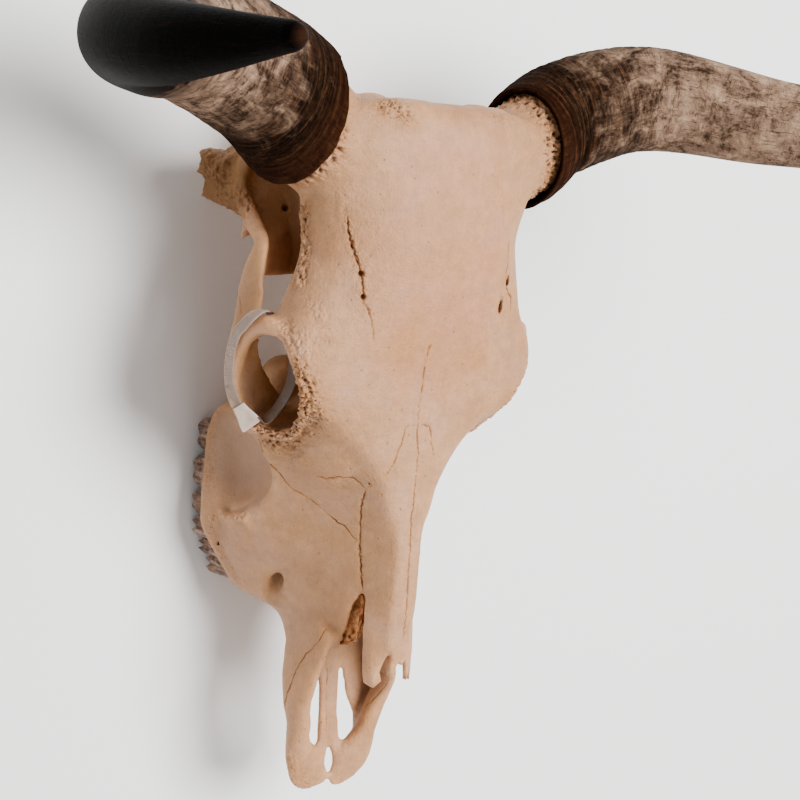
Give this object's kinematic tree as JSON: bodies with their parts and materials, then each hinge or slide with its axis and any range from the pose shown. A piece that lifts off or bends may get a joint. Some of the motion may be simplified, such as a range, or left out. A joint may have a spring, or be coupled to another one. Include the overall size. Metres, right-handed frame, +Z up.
{
  "type": "longhorn skull",
  "caption": "Weathered longhorn skull without its lower jaw, with up-curved horn sheaths on bony cores, worn upper cheek teeth and a nylon tie looped through one eye socket.",
  "frame": {"origin": "centre of the bounding box at the surface that the skull lies on", "axes": "+X towards the animal's left, -Y towards the muzzle, +Z up from the surface to the forehead"},
  "size_m": [0.7472, 0.5889, 0.5007],
  "materials": {
    "bone": "dry weathered bone, cream with a pink cast, brown in cracks and pits",
    "horn": "ringed dark brown horn at the base, mottled grey and cream along the middle, polished near-black tip",
    "enamel": "worn stained enamel",
    "nylon": "translucent off-white nylon"
  },
  "bodies": {
    "root": {"skull": "bone", "horn_sheath_right": "horn", "horn_sheath_left": "horn", "tooth_right_p2": "enamel", "tooth_right_p3": "enamel", "tooth_right_p4": "enamel", "tooth_right_m1": "enamel", "tooth_right_m2": "enamel", "tooth_right_m3": "enamel", "tooth_left_p2": "enamel", "tooth_left_p3": "enamel", "tooth_left_p4": "enamel", "tooth_left_m1": "enamel", "tooth_left_m2": "enamel", "tooth_left_m3": "enamel", "cable_tie": "nylon"}
  },
  "joints": []
}
